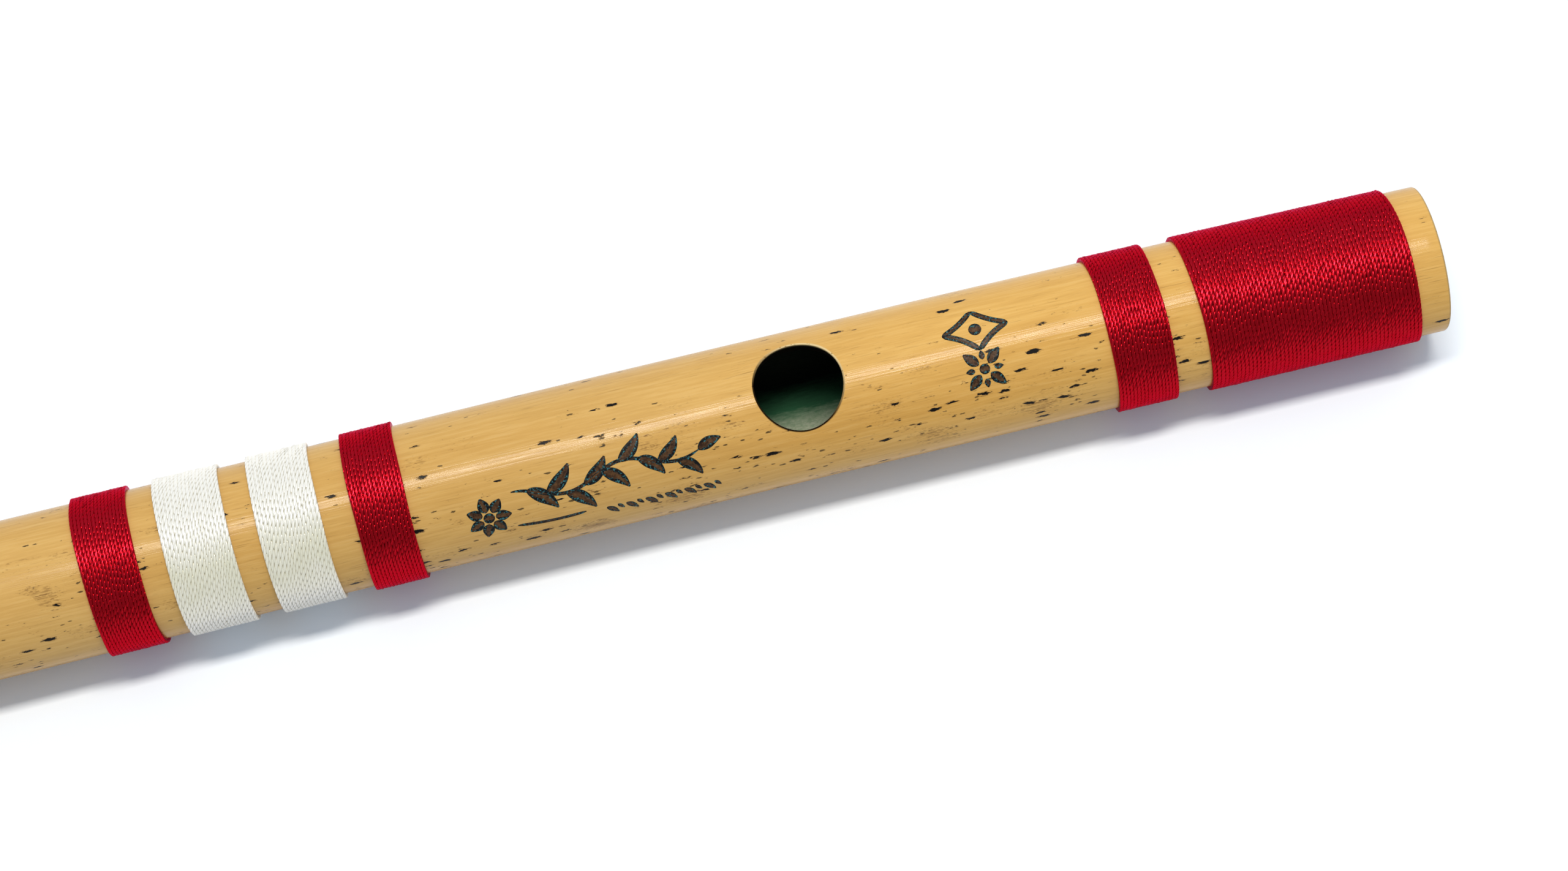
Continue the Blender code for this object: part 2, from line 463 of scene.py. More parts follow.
def bamboo_skin(shader, where):
    """(colour, pitted, fibre) of the polished outside: fibres, dark hairs, smudges and flecks."""
    slow = shader.noise((0.012, 0.10, 0.10), 3.0, 0.55, 1.0)
    fibre = shader.noise((0.12, 2.4, 2.4), 5.0, 0.66, 2.0)
    hair = shader.noise((0.22, 5.5, 5.5), 3.0, 0.6, 3.0)
    streaky = shader.noise((0.02, 0.16, 0.16), 2.0, 0.5, 9.0)
    colour = shader.mix(shader.ramp(slow, 0.35, 0.68), PALE_HONEY, DEEP_HONEY)
    colour = shader.mix(shader.ramp(fibre, 0.45, 0.72, 0.0, 0.40), colour, DARK_FIBRE)
    colour = shader.mix(shader.ramp(fibre, 0.5, 0.28, 0.0, 0.34), colour, PALE_FIBRE)
    dark_hair = shader.ramp(hair, 0.58, 0.72, 0.0, 0.48)
    dark_hair = shader.math("MULTIPLY", dark_hair, shader.ramp(streaky, 0.42, 0.6, 0.4, 1.0))
    colour = shader.mix(dark_hair, colour, HAIR_BROWN)
    # Darker and bluer towards the foot
    towards_foot = shader.ramp(where.outputs["X"], 112.0, 66.0)
    colour = shader.mix(towards_foot, colour, FOOT_SIDE_TONE, "MULTIPLY")

    near_side = shader.ramp(where.outputs["Y"], 2.5, -5.0)
    cloud = shader.noise((0.05, 0.14, 0.14), 2.0, 0.5, 6.0)
    density = shader.ramp(near_side, 0, 1, 0.22, 1.0)
    density = shader.math("MULTIPLY", density, shader.ramp(cloud, 0.42, 0.62, 0.3, 1.0))
    clean_end = shader.ramp(where.outputs["X"], 170.0, 173.0, 1.0, 0.12)
    density = shader.math("MULTIPLY", density, clean_end)
    many = shader.math("MULTIPLY", density, 0.75)
    smudge = specks(shader, (0.15, 0.42, 0.42), many, 0.55, 0.3, 11.0, 1.4)
    smudge = shader.math("MULTIPLY", smudge, shader.ramp(hair, 0.42, 0.62, 0.12, 0.85))
    colour = shader.mix(smudge, colour, SMUDGE_BROWN)
    some = shader.math("MULTIPLY", density, 0.44)
    halo = specks(shader, (0.42, 1.5, 1.5), some, 0.60, 0.20, 12.0, 0.6)
    colour = shader.mix(shader.math("MULTIPLY", halo, 0.55), colour, HALO_BROWN)
    fleck = specks(shader, (0.42, 1.5, 1.5), some, 0.47, 0.05, 12.0, 0.6)
    few = shader.math("MULTIPLY", density, 0.26)
    grit = specks(shader, (0.9, 2.8, 2.8), few, 0.46, 0.08, 13.0, 0.7)
    stain = shader.math("MAXIMUM", fleck, shader.math("MULTIPLY", grit, 0.8))
    colour = shader.mix(stain, colour, FLECK_BLACK)
    return colour, shader.math("MAXIMUM", fleck, grit), fibre


def bamboo_bore(shader, where, grain):
    """Colour of the bore: near black as painted shade on its far side and up top, its own green
    lower down where the lamp's light comes in, and a pale painted pool of light along the near
    side.
    """
    speckle = shader.noise((1.6, 3.0, 3.0), 3.0, 0.7, 8.0)
    across = shader.math("ADD", where.outputs["Y"], shader.ramp(grain, 0.3, 0.7, -0.4, 0.4))
    low = shader.ramp(where.outputs["Z"], 8.0, 6.0)
    # Painted shade: black on the far side, the bore's green where the lamp's light reaches the
    # lower bore
    out_of_shade = shader.math("MULTIPLY", shader.ramp(across, 5.6, 1.6), low)
    # Painted light: a pale pool along the near side, where the lamp's patch falls
    light_pool = shader.math("MULTIPLY", shader.ramp(across, 2.4, -3.4), low)
    light_pool_colour = shader.mix(shader.ramp(speckle, 0.35, 0.65), LIGHT_POOL_GREEN, LIGHT_POOL_PALE)
    return shader.mix(light_pool, shader.mix(out_of_shade, BORE_SHADE_BLACK, BORE_GREEN), light_pool_colour)


def bamboo_finish():
    """Polished bamboo, with scorched hole edges, pithy cut ends and a dark bore; the hole walls and
    the bore carry painted shade, and the bore a painted pool of light.
    """
    shader = Shader("bamboo")
    where = shader.add("ShaderNodeSeparateXYZ", Vector=shader.place((1, 1, 1)))
    grain = shader.noise((0.5, 3.0, 3.0), 4.0, 0.65, 4.0)
    inside = shader.value_of("inside")
    outside, pitted, fibre = bamboo_skin(shader, where)
    colour = shader.mix(inside, outside, bamboo_bore(shader, where, grain))
    dots = specks(shader, (2.6, 2.6, 2.6), 0.7, 0.5, 0.2, 14.0)
    colour = shader.mix(shader.value_of("cut"), colour, shader.mix(dots, PITH_PALE, PITH_BROWN))
    # Scorch, with painted shade on the hole walls and on the rims' side away from the lamp
    burn = shader.math("MULTIPLY", shader.value_of("burn"), shader.ramp(grain, 0.3, 0.6, 0.96, 1.0))
    shader.set("Base Color", shader.mix(burn, colour, SCORCH_AND_SHADE_BLACK))

    rough = shader.ramp(fibre, 0.3, 0.7, 0.13, 0.20)
    dull = shader.math("MULTIPLY", inside, 0.4)
    dull = shader.math("MAXIMUM", dull, shader.math("MULTIPLY", burn, 0.8))
    rough = shader.math("ADD", rough, dull)
    shader.set("Roughness", shader.math("ADD", rough, shader.math("MULTIPLY", pitted, 0.25), True))
    shader.set("Specular IOR Level", 0.15)
    sooty = shader.math("MAXIMUM", inside, burn)
    shader.set("Specular Tint", shader.mix(sooty, WHITE, SOOTY_SHINE))
    ridges = shader.noise((0.04, 4.2, 4.2), 2.0, 0.6, 7.0)
    height = shader.math("SUBTRACT", ridges, shader.math("MULTIPLY", pitted, 0.7))
    shader.set("Normal", shader.bump(height, 0.026 * MM))
    return shader.material


def thread_finish(name, lobe, groove, near_shade, shine_tint, metal, level, sheen):
    """Silky twisted thread, with painted shade between its plies, and specks of lint.

    It is darker and yellower on the near side, part way down, as painted shade.
    """
    shader = Shader(name)
    slow = shader.noise((0.25, 0.25, 0.25), 2.0, 0.5, 1.0)
    fuzz = shader.noise((6.0, 6.0, 6.0), 3.0, 0.7, 2.0)
    # Painted shade: the colour darkens from the lobes down into the grooves between the plies
    shade = shader.ramp(shader.value_of("ply"), 0.3, 0.9)
    shade = shader.math("MULTIPLY", shade, shader.ramp(fuzz, 0.3, 0.7, 0.85, 1.0))
    colour = shader.mix(shade, groove, lobe)
    dull = [0.85 * each for each in lobe[:3]] + [1]
    colour = shader.mix(shader.ramp(slow, 0.5, 0.8, 0.0, 0.4), colour, dull)
    lint = specks(shader, (1.1, 1.1, 1.1), 0.04, 0.08, 0.03, 21.0, 0.3)
    colour = shader.mix(shader.math("MULTIPLY", lint, 0.6), colour, LINT_PINK)
    where = shader.add("ShaderNodeSeparateXYZ", Vector=shader.place((1, 1, 1)))
    # Painted shade on the near side, part way down, where the thread looks darker
    near_side = shader.ramp(where.outputs["Y"], -1.0, -5.0)
    near_shade_share = shader.math("MULTIPLY", near_side, shader.ramp(where.outputs["Z"], 13.0, 18.0))
    near_shade_share = shader.math("MULTIPLY", near_shade_share, shader.ramp(slow, 0.3, 0.6, 0.5, 1.0))
    shader.set("Base Color", shader.mix(near_shade_share, colour, near_shade, "MULTIPLY"))
    shader.set("Roughness", shader.ramp(fuzz, 0.3, 0.7, 0.20, 0.27))
    shader.set("Metallic", metal)
    shader.set("Specular IOR Level", level)
    shader.set("Specular Tint", shine_tint)
    shader.set("Sheen Weight", sheen)
    shader.set("Sheen Roughness", 0.6)
    shader.set("Sheen Tint", shine_tint)
    shader.set("Normal", shader.bump(fuzz, 0.004 * MM))
    return shader.material


def cork_finish():
    """Pressed cork: pale granules with dark joints."""
    shader = Shader("cork")
    cells = shader.add("ShaderNodeTexVoronoi", Vector=shader.place((0.8, 0.8, 0.8)), Scale=1.0)
    tone = shader.add("ShaderNodeSeparateColor", Color=cells.outputs["Color"]).outputs[0]
    colour = shader.mix(tone, (0.50, 0.29, 0.14, 1), (0.36, 0.19, 0.085, 1))
    pits = shader.noise((1.6, 1.6, 1.6), 4.0, 0.7, 5.0)
    pit = shader.ramp(pits, 0.60, 0.68)
    colour = shader.mix(pit, colour, (0.09, 0.045, 0.02, 1))
    shader.set("Base Color", colour)
    shader.set("Roughness", 0.85)
    shader.set("Normal", shader.bump(shader.math("SUBTRACT", tone, pit), 0.08 * MM))
    return shader.material


def mark_finish():
    """Burnt bamboo: brown inside a stroke and charred along its edges, with painted teal glints on
    the char.
    """
    shader = Shader("burnt_mark")
    patches = shader.noise((1.8, 1.8, 1.8), 3.0, 0.65, 1.0)
    edge = shader.value_of("edge")
    cracks = shader.noise((4.0, 4.0, 4.0), 2.0, 0.6, 2.0)
    uneven = shader.ramp(patches, 0.35, 0.65, -0.3, 0.3)
    charred = shader.ramp(shader.math("ADD", edge, uneven), 0.38, 0.52)
    patchy = shader.ramp(patches, 0.35, 0.65)
    brown = shader.mix(patchy, (0.028, 0.012, 0.005, 1), (0.13, 0.06, 0.02, 1))
    # Painted glints: teal specks on the char, back from the very edge
    painted_glint = shader.math("MULTIPLY", shader.ramp(cracks, 0.53, 0.60), shader.ramp(edge, 0.98, 0.8))
    char = shader.mix(painted_glint, (0.0015, 0.002, 0.0025, 1), (0.035, 0.16, 0.18, 1))
    shader.set("Base Color", shader.mix(charred, brown, char))
    shader.set("Roughness", shader.ramp(patches, 0.3, 0.7, 0.25, 0.6))
    shader.set("Specular IOR Level", 0.2)
    shader.set("Normal", shader.bump(patches, 0.06 * MM))
    return shader.material


def hole_patch(place, radius):
    """(low, high, steps to either side) of the culm's grid that a hole's own rings take up."""
    reach = radius + PATCH_MARGIN
    half_angle = math.asin((radius + HOLE_UNDERCUT) / BORE_RADIUS) + PATCH_MARGIN_ANGLE
    return place - reach, place + reach, math.ceil(half_angle * AROUND / (2 * math.pi))


def hole_rings(skin, place, radius, border):
    """The rings of a hole, from its border on the outside, over the rim, to that on the bore."""
    flare = radius + HOLE_UNDERCUT
    lip = radius + RIM_ROUNDING
    turns = []
    for spot, angle in border:
        turns.append(math.atan2(angle * BORE_RADIUS * FLAT_RATIO, spot - place))

    def on(spot_radius, turn, shell, drop):
        """A point at a radius from the hole's axis, on a shell of the culm less a drop."""
        spot = place + spot_radius * math.cos(turn)
        side = spot_radius * math.sin(turn)
        return (spot, bow(place) + side, axis_height + math.sqrt(shell**2 - side**2) - drop)

    def eased(shell, spot_radius, share, inner):
        """A ring between the hole's edge and its border, on a shell of the culm."""
        ring = []
        for (spot, angle), turn in zip(border, turns):
            edge = place + spot_radius * math.cos(turn)
            edge_angle = math.asin(spot_radius * math.sin(turn) / shell)
            at = edge + share * (spot - edge)
            leaning = edge_angle + share * (angle - edge_angle)
            if inner:
                ring.append(skin.add(bore_point(at, leaning), inside=1.0))
            else:
                ring.append(skin.add(point(at, leaning, surface_radius(at, leaning))))
        return ring

    def rim_scorch_and_shade(turn):
        """How dark the rim is: real scorch, made heaviest on the near side and towards the foot,
        away from the lamp, as painted shade.
        """
        return min(1.0, max(0.0, 0.7 - 0.65 * math.sin(turn) - 0.45 * math.cos(turn)))

    shell = culm_radius(place)
    rings = [eased(shell, lip, share, False) for share in OUTER_SHARES]
    for step in range(ROUND_STEPS + 1):
        lean = math.pi / 2 * step / ROUND_STEPS
        size = radius + RIM_ROUNDING * (1 - math.sin(lean))
        drop = RIM_ROUNDING * (1 - math.cos(lean))
        ring = []
        for turn in turns:
            char = rim_scorch_and_shade(turn)
            # Where a rim is not dark it shows pale cut bamboo, partly a painted highlight on the
            # side towards the lamp
            ring.append(skin.add(on(size, turn, shell, drop), burn=char, cut=1 - char))
        rings.append(ring)
    # The hole's wall is black: real scorch, and painted shade where the lamp's light does not reach
    for step in range(1, WALL_STEPS + 1):
        share = step / WALL_STEPS
        ring = []
        for turn in turns:
            top = on(radius, turn, shell, RIM_ROUNDING)
            base = on(flare, turn, BORE_RADIUS, 0.0)
            spot = tuple(a + share * (b - a) for a, b in zip(top, base))
            ring.append(skin.add(spot, burn=1.0, inside=1.0))
        rings.append(ring)
    rings += [eased(BORE_RADIUS, flare, share, True) for share in INNER_SHARES]
    return rings


def end_ring(skin, angles, place, radius, cut, burn=0.0, shift=0.0):
    """One ring of points of a cut end."""
    return [skin.add(point(place, angle, radius, shift), cut=cut, burn=burn) for angle in angles]


def end_rings(skin, angles, end, way):
    """The rings of a cut end, from its rounded outer edge over its flat to its inner edge."""
    outer = culm_radius(end)
    rings = []
    for step in range(1, ROUND_STEPS + 1):
        lean = math.pi / 2 * step / ROUND_STEPS
        place = end - way * END_ROUNDING * (1 - math.sin(lean))
        size = outer - END_ROUNDING * (1 - math.cos(lean))
        cut = step / ROUND_STEPS
        rings.append(end_ring(skin, angles, place, size, cut, END_BURN - END_BURN_FADE * cut))
    for share in END_SHARES:
        size = outer - share * (outer - BORE_RADIUS)
        rings.append(end_ring(skin, angles, end, size, 1.0, shift=share * bore_shift(end)))
    for step in range(ROUND_STEPS):
        lean = math.pi / 2 * step / ROUND_STEPS
        place = end - way * END_ROUNDING * (1 - math.cos(lean)) / 2
        size = BORE_RADIUS + END_ROUNDING * (1 - math.sin(lean)) / 2
        rings.append(end_ring(skin, angles, place, size, 1.0, shift=bore_shift(place)))
    return rings


def build_bamboo():
    """The culm as one skin: outside, rounded ends, bore, and each hole with its own rings."""
    skin = Skin("inside", "cut", "burn")
    low_end, high_end = tube_low.x, tube_high.x
    names = ["blow_hole"] + [f"finger_hole_{number}" for number in range(6, 0, -1)]
    holes = sorted((opening(name).x, hole_radius(opening(name).x)) for name in names)
    patches = [hole_patch(*hole) for hole in holes]

    stations = [low_end + END_ROUNDING]
    windows = []
    for low, high, half in patches:
        stations += spread(stations[-1], low, STATION_SPACING)[1:]
        first = len(stations) - 1
        stations += spread(low, high, PATCH_SPACING)[1:]
        windows.append((first, len(stations) - 1, half))
    stations += spread(stations[-1], high_end - END_ROUNDING, STATION_SPACING)[1:]

    angles = [2 * math.pi * step / AROUND for step in range(AROUND)]
    outside = [
        [skin.add(point(place, angle, surface_radius(place, angle))) for angle in angles]
        for place in stations
    ]
    bore = [
        [skin.add(bore_point(place, angle), inside=1.0) for angle in angles]
        for place in stations
    ]

    def taken(i, j):
        turn = j if j < AROUND / 2 else j - AROUND
        return any(first <= i < last and -half <= turn < half for first, last, half in windows)

    for grid in (outside, bore):
        for i in range(len(stations) - 1):
            for j in range(AROUND):
                if not taken(i, j):
                    after = (j + 1) % AROUND
                    corners = (grid[i][j], grid[i][after], grid[i + 1][after], grid[i + 1][j])
                    skin.faces.append(corners)

    for (place, radius), (first, last, half) in zip(holes, windows):
        walk = [(last, j) for j in range(-half, half)]
        walk += [(i, half) for i in range(last, first, -1)]
        walk += [(first, j) for j in range(half, -half, -1)]
        walk += [(i, -half) for i in range(first, last)]
        border = [(stations[i], 2 * math.pi * j / AROUND) for i, j in walk]
        rings = [[outside[i][j % AROUND] for i, j in walk]]
        rings += hole_rings(skin, place, radius, border)
        rings.append([bore[i][j % AROUND] for i, j in walk])
        for upper, lower in zip(rings, rings[1:]):
            skin.bridge(upper, lower)

    for end, first, last, way in (
        (high_end, outside[-1], bore[-1], 1),
        (low_end, outside[0], bore[0], -1),
    ):
        rings = [first] + end_rings(skin, angles, end, way) + [last]
        for upper, lower in zip(rings, rings[1:]):
            skin.bridge(upper, lower)

    piece = skin.make("bamboo_culm")
    face_outwards(piece)
    return dress(piece, "flute", "bamboo", bamboo_finish(), "bamboo_tube")


def ply_rows(length, grain, seed):
    """(place along the thread, drop, tilt) of each row of points of a strand."""
    rows = []
    slant = COLUMNS[-1] * grain
    begin = -slant
    while begin < length + slant:
        change = noise.noise(Vector((begin / MM * GRAIN_WAVE, seed, 7.0)))
        size = grain * (1 + GRAIN_UNEVENNESS * change)
        number = len(rows) // len(ROW_PHASES)
        lean = GRAIN_LEAN * noise.noise(Vector((number * GRAIN_STEP, seed, 5.0)))
        swell = GRAIN_SWELL * noise.noise(Vector((number * GRAIN_STEP, seed, 3.0)))
        for phase, drop in zip(ROW_PHASES, ROW_DROPS):
            rows.append((begin + phase * size, drop, lean * (2 * phase - 1) - swell))
        begin += size
    return [row for row in rows if row[0] < length + slant]


def build_strand(name, start, turns, lead, pitch, grain, finish, slot, node, seed):
    """One strand of two-ply thread, pressed flat against its neighbours.

    It starts and ends underneath. Its rows of points slant as the plies do, so that each row
    lies along one groove or one ridge.
    """
    skin = Skin("ply")
    girth = 2 * math.pi * (culm_radius(start) + THREAD_HEIGHT / 2)
    length = turns * girth
    deepest = max(ROW_DROPS) + max(COLUMN_DROPS)
    rows = []
    for along, row_drop, tilt in ply_rows(length, grain, seed):
        row = []
        for column, side_drop in zip(COLUMNS, COLUMN_DROPS):
            gone = min(max(along - column * grain, 0.0), length)
            near_end = min(1.0, min(gone, length - gone) / TAIL_LENGTH)
            angle = math.pi - 2 * math.pi * gone / girth
            place = start + lead * gone / girth + column * pitch
            spot = Vector((place / WANDER_LENGTH, math.sin(angle), math.cos(angle)))
            place += WANDER * noise.noise(spot)
            drop = side_drop + row_drop * (0.5 + abs(column))
            height = THREAD_HEIGHT * (1 - drop - tilt)
            height *= TAIL_HEIGHT + (1 - TAIL_HEIGHT) * near_end
            # How high a point stands, which sets the painted shade in the grooves
            ply = 1 - drop / deepest
            row.append(skin.add(point(place, angle, culm_radius(place) + height), ply=ply))
            if column == COLUMNS[0]:
                under = [skin.add(point(place, angle, culm_radius(place)))]
        row.append(skin.add(point(place, angle, culm_radius(place))))
        row += under
        if rows:
            skin.bridge(rows[-1], row)
        rows.append(row)
    skin.faces.append(tuple(rows[0]))
    skin.faces.append(tuple(reversed(rows[-1])))
    piece = skin.make(name)
    face_outwards(piece)
    return dress(piece, "flute", slot, finish, node)


def build_bindings():
    """Every binding, wound from its strands side by side over the width of its CAD sleeve."""
    finishes = {
        "red_thread": thread_finish(
            "red_thread",
            lobe=(0.54, 0.0090, 0.020, 1),
            # groove: painted shade between the plies
            groove=(0.36, 0.0002, 0.0004, 1),
            # painted shade on the near side
            near_shade=(0.90, 0.8, 0.7, 1),
            shine_tint=(1.0, 0.18, 0.45, 1),
            metal=0.95,
            level=0.9,
            sheen=0.0,
        ),
        "white_thread": thread_finish(
            "white_thread",
            lobe=(0.94, 0.93, 0.86, 1),
            # groove: painted shade between the plies
            groove=(0.27, 0.23, 0.08, 1),
            # painted shade on the near side
            near_shade=(0.88, 0.88, 0.74, 1),
            shine_tint=(1.0, 1.0, 0.96, 1),
            metal=0.15,
            level=0.8,
            sheen=1.0,
        ),
    }
    seed = 0.0
    for node, (strands, pitch, reach, grain, slot) in BINDINGS.items():
        low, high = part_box(node)
        width = high.x - low.x + reach
        turns = round(width / pitch)
        pitch = width / turns
        lead = strands * pitch
        for strand in range(strands):
            seed += SEED_STEP
            start = low.x + (strand + 0.5) * pitch - lead / 2
            wound = len(range(strand, turns, strands))
            name = f"{node}_strand_{strand + 1}"
            build_strand(name, start, wound, lead, pitch, grain, finishes[slot], slot, node, seed)


def build_stopper():
    """The cork stopper, a little uneven, with soft edges."""
    low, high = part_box("cork_stopper")
    radius = (high.z - low.z) / 2
    middle = (low.x + high.x) / 2
    profile = [(low.x, share * radius) for share in PLUG_FACE_SHARES]
    for step in range(ROUND_STEPS + 1):
        lean = math.pi / 2 * step / ROUND_STEPS
        place = low.x + PLUG_ROUNDING * (1 - math.cos(lean))
        profile.append((place, radius - PLUG_ROUNDING * (1 - math.sin(lean))))
    profile += [(place, radius) for place in spread(low.x + 2 * PLUG_ROUNDING, middle, MM)]
    profile += [(2 * middle - place, size) for place, size in reversed(profile[:-1])]
    skin = Skin()
    rings = []
    for place, size in profile:
        ring = []
        for step in range(PLUG_AROUND):
            angle = 2 * math.pi * step / PLUG_AROUND
            spot = Vector((place, size * math.sin(angle), size * math.cos(angle)))
            rough = PLUG_ROUGHNESS * noise.noise(spot / MM)
            ring.append(skin.add(bore_point(place, angle, size + min(rough, 0.0))))
        if rings:
            skin.bridge(rings[-1], ring)
        rings.append(ring)
    skin.faces.append(tuple(rings[0]))
    skin.faces.append(tuple(reversed(rings[-1])))
    piece = skin.make("cork_plug")
    face_outwards(piece)
    return dress(piece, "stopper", "cork", cork_finish(), "cork_stopper")


def stroke(skin, line, half_width, rise):
    """A burnt stroke along a line of (place, way round in metres), wrapped onto the bamboo."""
    count = len(line)
    tops, bases = [], []
    for i, (place, way) in enumerate(line):
        before, after = line[max(i - 1, 0)], line[min(i + 1, count - 1)]
        along = Vector((after[0] - before[0], after[1] - before[1])).normalized()
        width = half_width(i / (count - 1))
        top, base = [], []
        for column, lift in zip(MARK_COLUMNS, MARK_LIFTS):
            spot = place - along.y * column * width
            angle = (way + along.x * column * width) / culm_radius(place)
            radius = surface_radius(spot, angle)
            edge = max(abs(column), 1 - width / THIN_STROKE)
            top.append(skin.add(point(spot, angle, radius + lift + rise), edge=edge))
            base.append(skin.add(point(spot, angle, radius - MARK_DEPTH), edge=edge))
        tops.append(top)
        bases.append(base)
    for i in range(count - 1):
        first = tops[i] + bases[i][::-1]
        second = tops[i + 1] + bases[i + 1][::-1]
        skin.bridge(first, second)
    for i, flip in ((0, False), (count - 1, True)):
        for j in range(len(MARK_COLUMNS) - 1):
            face = (tops[i][j], tops[i][j + 1], bases[i][j + 1], bases[i][j])
            skin.faces.append(face[::-1] if flip else face)


def arc_line(start, end, sag, count=14):
    """A line from start to end that bows to its left by sag at the middle."""
    start, end = Vector(start), Vector(end)
    along = end - start
    left = Vector((-along.y, along.x)).normalized()
    points = []
    for i in range(count + 1):
        share = i / count
        points.append(tuple(start + along * share + left * sag * 4 * share * (1 - share)))
    return points


def even(width):
    """A stroke of one width, in millimetres, rounded at its ends."""
    return lambda share: width * MM * (1 - 0.75 * (2 * share - 1) ** 10)


def leaf(width):
    """A stroke that swells to a leaf and comes to a point."""
    return lambda share: width * MM * (0.12 + 0.88 * math.sin(math.pi * share**0.8) ** 0.9)


def dot(x, y, radius):
    """A round dot, as a stroke across it."""

    def width(share):
        return radius * MM * math.sqrt(max(0.03, 1 - (2 * share - 1) ** 2))

    return arc_line((x - radius, y), (x + radius, y), 0.0), width


def petals(x, y, count, inner, outer, width, turned=0.0):
    """Leaf strokes that stand out from a middle."""
    strokes = []
    for number in range(count):
        lean = 2 * math.pi * number / count + turned
        way = Vector((math.cos(lean), math.sin(lean)))
        root = Vector((x, y)) + way * inner
        strokes.append((arc_line(root, root + way * (outer - inner), 0.0), leaf(width)))
    return strokes


def build_marks():
    """Plain burnt ornaments: a leaf sprig, a rosette, a row of dashes, a lozenge and a flower."""
    finish = mark_finish()

    def drawn(name, place, angle, strokes):
        skin = Skin("edge")
        way = angle * culm_radius(place)
        for number, (line, width) in enumerate(strokes):
            shifted = [(place + x * MM, way + y * MM) for x, y in line]
            stroke(skin, shifted, width, number * MARK_STEP % (8 * MARK_STEP))
        piece = skin.make(name)
        face_outwards(piece)
        return dress(piece, "flute", "bamboo", finish)

    stem = []
    for number in range(51):
        x = -12.5 + 0.5 * number
        stem.append((x, 1.1 * math.sin(0.42 * x + 0.6) + 0.05 * x))
    strokes = [(stem, even(0.26))]
    for number in range(9):
        root = Vector(stem[4 + 5 * number])
        side = 1 if number % 2 else -1
        length = 4.9 - 0.12 * number
        tip = root + Vector((0.74 * length, side * 0.68 * length))
        strokes.append((arc_line(root, tip, -side * 0.45), leaf(0.98 - 0.02 * number)))
    tip = Vector(stem[-1])
    strokes.append((arc_line(tip, tip + Vector((3.2, 1.0)), 0.2), leaf(0.8)))
    drawn("burnt_sprig", blow_hole - 27.2 * MM, -32 * DEGREE, strokes)

    strokes = petals(0, 0, 7, 0.9, 3.0, 0.78) + [dot(0, 0, 0.75)]
    strokes.append((arc_line((3.4, -2.2), (12.5, -2.6), -0.3), even(0.24)))
    drawn("burnt_rosette", blow_hole - 43.2 * MM, -45.5 * DEGREE, strokes)

    strokes = []
    for number in range(6):
        x = 2.6 * number
        strokes.append((arc_line((x, 0.6), (x + 1.5, -0.7), 0.1), leaf(0.42)))
        strokes.append((arc_line((x + 1.5, 0.75), (x + 2.3, -0.1), 0.0), leaf(0.28)))
    drawn("burnt_dashes", blow_hole - 28.0 * MM, -65 * DEGREE, strokes)

    corners = [(0, 2.9), (4.4, 0), (0, -2.9), (-4.4, 0)]
    strokes = []
    for first, second in zip(corners, corners[1:] + corners[:1]):
        strokes.append((arc_line(first, second, -0.35), even(0.40)))
    strokes.append(dot(0, 0, 0.85))
    drawn("burnt_lozenge", blow_hole + 24.1 * MM, 9.5 * DEGREE, strokes)

    strokes = petals(0, 0, 4, 0.95, 3.4, 0.72, math.pi / 4) + petals(0, 0, 4, 1.3, 2.5, 0.4)
    strokes.append(dot(0, 0, 0.7))
    drawn("burnt_flower", blow_hole + 24.1 * MM, -22 * DEGREE, strokes)


def build_stage():
    """A plain white floor that keeps the flute's shadow."""
    bpy.ops.mesh.primitive_plane_add(size=FLOOR_SIZE, location=(0, 0, -FLOOR_DROP))
    floor = bpy.context.object
    floor.name = "floor"
    shader = Shader("floor")
    seen = shader.add("ShaderNodeLightPath").outputs["Is Camera Ray"]
    colour = shader.mix(seen, FLOOR_COLOUR, FLOOR_SEEN_COLOUR)
    paper = shader.add("ShaderNodeBsdfDiffuse", Color=colour)
    plain = shader.add("ShaderNodeEmission", Color=WHITE)
    where = shader.add("ShaderNodeTexCoord").outputs["Object"]
    away = shader.add("ShaderNodeVectorMath", {"operation": "LENGTH"}, Vector=where)
    faded = shader.ramp(away.outputs["Value"], FLOOR_FADE_START, FLOOR_FADE_END)
    both = shader.add("ShaderNodeMixShader", Fac=shader.math("MULTIPLY", seen, faded))
    shader.feed(both.inputs[1], paper.outputs[0])
    shader.feed(both.inputs[2], plain.outputs[0])
    shader.surface(both)
    floor.data.materials.append(shader.material)


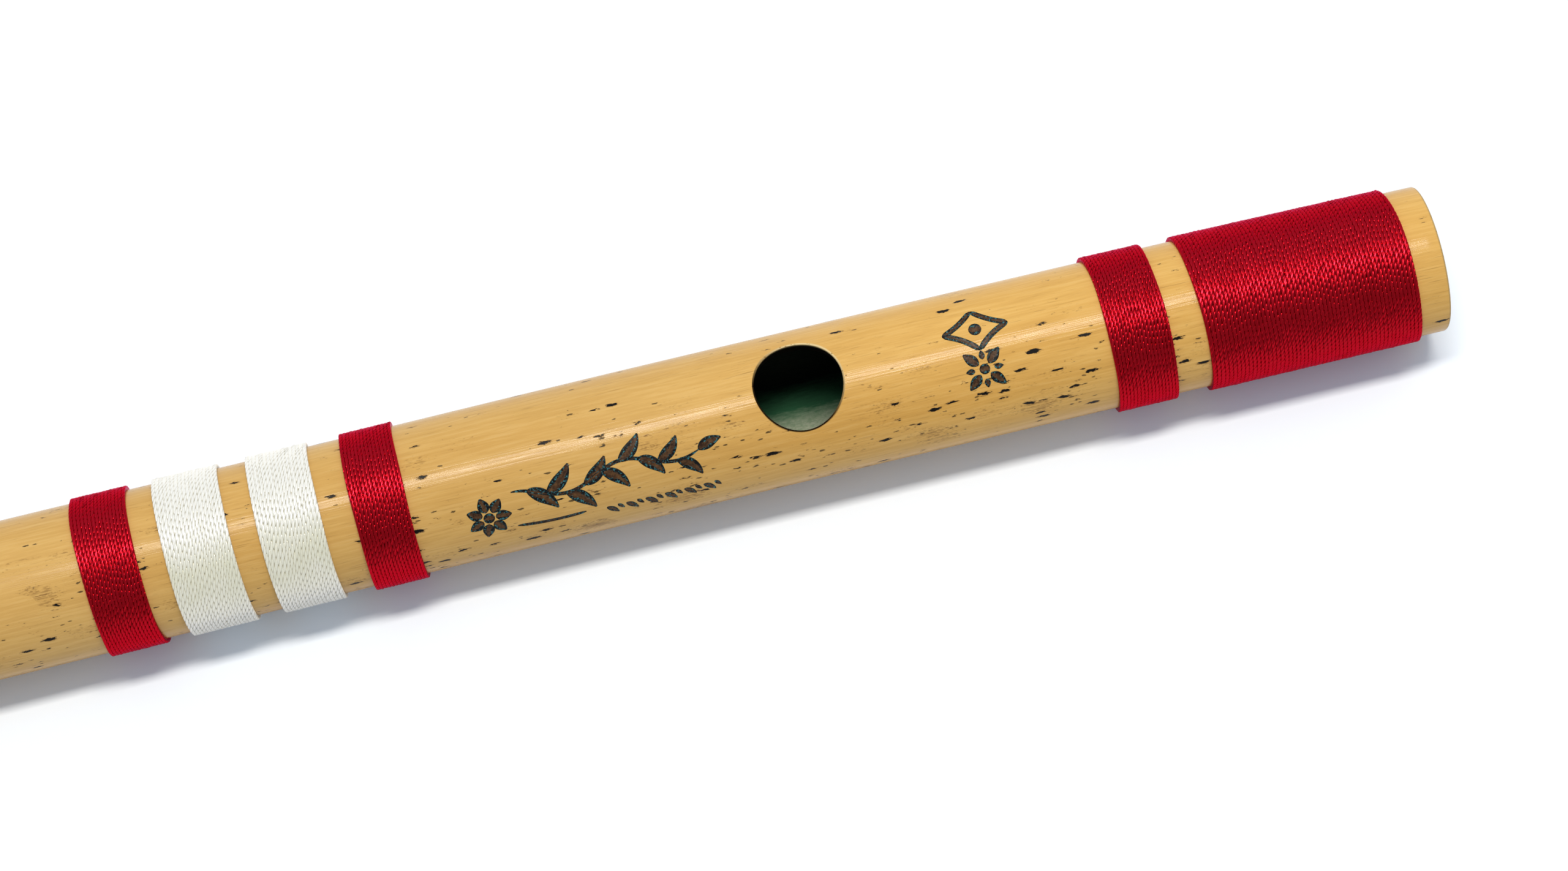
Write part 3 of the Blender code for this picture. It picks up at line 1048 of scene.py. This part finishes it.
def build_lamp():
    """The lamp, aimed close to the blow hole."""
    lean = Vector((math.tan(LAMP_LEAN_RIGHT), math.tan(LAMP_LEAN_BACK), 1.0)).normalized()
    data = bpy.data.lights.new("soft_lamp", "AREA")
    data.shape = "RECTANGLE"
    data.size = LAMP_LENGTH
    data.size_y = LAMP_WIDTH
    data.color = LAMP_COLOUR
    data.energy = LAMP_LEVEL * (math.pi * LAMP_DISTANCE) ** 2
    lamp = bpy.data.objects.new("soft_lamp", data)
    bpy.context.scene.collection.objects.link(lamp)
    lamp.location = Vector((blow_hole + LAMP_AIM, 0, axis_height)) + lean * LAMP_DISTANCE
    lamp.rotation_euler = (-LAMP_LEAN_BACK, LAMP_LEAN_RIGHT, 0.0)


def build_room():
    """The room's light, and plain white where the camera sees past the floor."""
    world = bpy.data.worlds.new("room")
    bpy.context.scene.world = world
    world.use_nodes = True
    world.node_tree.nodes.clear()
    room = Nodes(world.node_tree)
    where = room.add("ShaderNodeTexCoord").outputs["Generated"]
    parts = room.add("ShaderNodeSeparateXYZ", Vector=where)
    side = room.ramp(
        parts.outputs["Y"], ROOM_NEAR_SIDE, ROOM_FAR_SIDE, ROOM_NEAR_LEVEL, ROOM_FAR_LEVEL
    )
    height = room.ramp(parts.outputs["Z"], 0.0, ROOM_ZENITH_FROM, ROOM_HORIZON, ROOM_ZENITH)
    level = room.math("MULTIPLY", side, height)
    seen = room.add("ShaderNodeLightPath").outputs["Is Camera Ray"]
    shine = room.add(
        "ShaderNodeBackground",
        Color=room.mix(seen, ROOM_COLOUR, WHITE),
        Strength=room.ramp(seen, 0.0, 1.0, level, 1.0),
    )
    output = room.add("ShaderNodeOutputWorld")
    room.feed(output.inputs["Surface"], shine.outputs[0])


def build_camera():
    """The photograph's camera."""
    data = bpy.data.cameras.new("camera")
    data.lens = CAMERA_LENS
    data.sensor_width = CAMERA_FILM
    data.clip_start = CAMERA_NEAR
    camera = bpy.data.objects.new("camera", data)
    bpy.context.scene.collection.objects.link(camera)
    turned = (
        Matrix.Rotation(CAMERA_AZIMUTH, 4, "Z")
        @ Matrix.Rotation(math.pi / 2 - CAMERA_ELEVATION, 4, "X")
        @ Matrix.Rotation(CAMERA_ROLL, 4, "Z")
    )
    centre = Vector((blow_hole, bow(blow_hole), axis_height))
    camera.matrix_world = Matrix.Translation(centre + CAMERA_OFFSET) @ turned
    bpy.context.scene.camera = camera


build_camera()
build_lamp()
build_room()
build_stage()
build_bamboo()
build_bindings()
build_stopper()
build_marks()
bpy.context.scene.view_settings.view_transform = "Standard"
